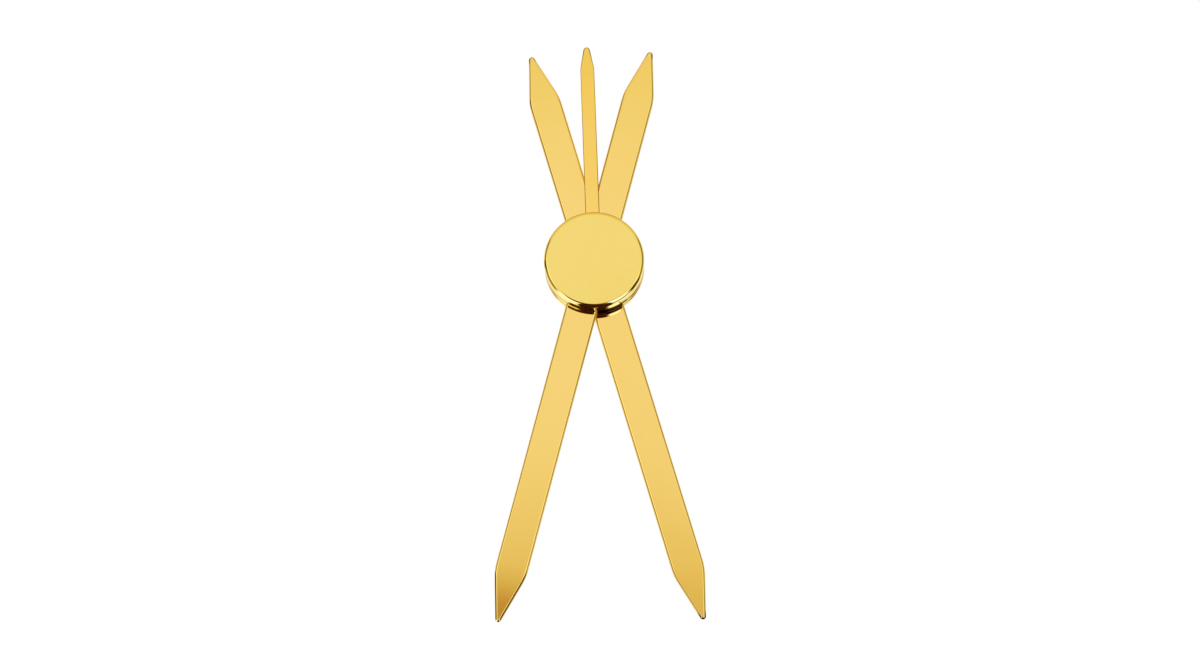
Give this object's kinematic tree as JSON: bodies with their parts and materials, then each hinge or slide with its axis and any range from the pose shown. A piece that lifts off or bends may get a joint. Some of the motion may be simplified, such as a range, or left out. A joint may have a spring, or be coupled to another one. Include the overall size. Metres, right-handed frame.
{
  "type": "microblading compass",
  "caption": "Gold-plated brow-mapping compass: crossed golden-ratio legs with spear points and a slim centre pointer on a round hub; geared legs open evenly about the pointer.",
  "frame": {"origin": "on the pivot axis, in the flat rear face of the hub on which the compass lies", "axes": "+Z along the pivot axis towards the front face, +Y along the middle line towards the pointer and the short arms, +X to the right seen from the front"},
  "size_m": [0.0412, 0.1186, 0.0077],
  "materials": {
    "gold_plate": "mirror-polished gold plating",
    "gear_brass": "machined, bare",
    "bearing_brass": "rolled sheet, satin",
    "steel": "turned and ground"
  },
  "bodies": {
    "hub": {"front_cap": "gold_plate", "pointer": "gold_plate", "carrier_screws": "steel", "stop_pin": "steel", "carrier_shim": "bearing_brass", "pivot_post": "steel", "rear_cap": "gold_plate", "clamp_screw": "steel", "disc_spring": "steel", "thrust_washer": "bearing_brass", "upper_front_axle": "steel", "upper_rear_axle": "steel", "lower_front_axle": "steel", "lower_rear_axle": "steel"},
    "front_leg_set": {"front_leg": "gold_plate", "front_sun_gear": "gear_brass"},
    "rear_leg_set": {"rear_leg": "gold_plate", "rear_sun_gear": "gear_brass", "leg_washer": "bearing_brass"},
    "upper_front_gear": {"upper_front_pinion": "gear_brass"},
    "upper_rear_gear": {"upper_rear_pinion": "gear_brass"},
    "lower_front_gear": {"lower_front_pinion": "gear_brass"},
    "lower_rear_gear": {"lower_rear_pinion": "gear_brass"}
  },
  "joints": [
    {"name": "front_leg_swing", "type": "hinge", "parent": "hub", "child": "front_leg_set", "pos_m": [0, 0, 0.00413], "axis": [0, 0, 1], "range_deg": [-44.6, 15.4]},
    {"name": "rear_leg_swing", "type": "hinge", "parent": "hub", "child": "rear_leg_set", "pos_m": [0, 0, 0.00272], "axis": [0, 0, 1], "range_deg": [-15.4, 44.6]},
    {"name": "upper_front_spin", "type": "hinge", "parent": "hub", "child": "upper_front_gear", "pos_m": [0.002, 0.00512, 0.00631], "axis": [0, 0, 1], "range_deg": [-27, 78.1]},
    {"name": "upper_rear_spin", "type": "hinge", "parent": "hub", "child": "upper_rear_gear", "pos_m": [-0.002, 0.00512, 0.00631], "axis": [0, 0, 1], "range_deg": [-78.1, 27]},
    {"name": "lower_front_spin", "type": "hinge", "parent": "hub", "child": "lower_front_gear", "pos_m": [-0.002, -0.00512, 0.00631], "axis": [0, 0, 1], "range_deg": [-27, 78.1]},
    {"name": "lower_rear_spin", "type": "hinge", "parent": "hub", "child": "lower_rear_gear", "pos_m": [0.002, -0.00512, 0.00631], "axis": [0, 0, 1], "range_deg": [-78.1, 27]}
  ],
  "couplings": [
    {"joint": "rear_leg_swing", "follows": "front_leg_swing", "ratio": -1},
    {"joint": "upper_front_spin", "follows": "front_leg_swing", "ratio": -1.75},
    {"joint": "upper_rear_spin", "follows": "front_leg_swing", "ratio": 1.75},
    {"joint": "lower_front_spin", "follows": "front_leg_swing", "ratio": -1.75},
    {"joint": "lower_rear_spin", "follows": "front_leg_swing", "ratio": 1.75}
  ]
}
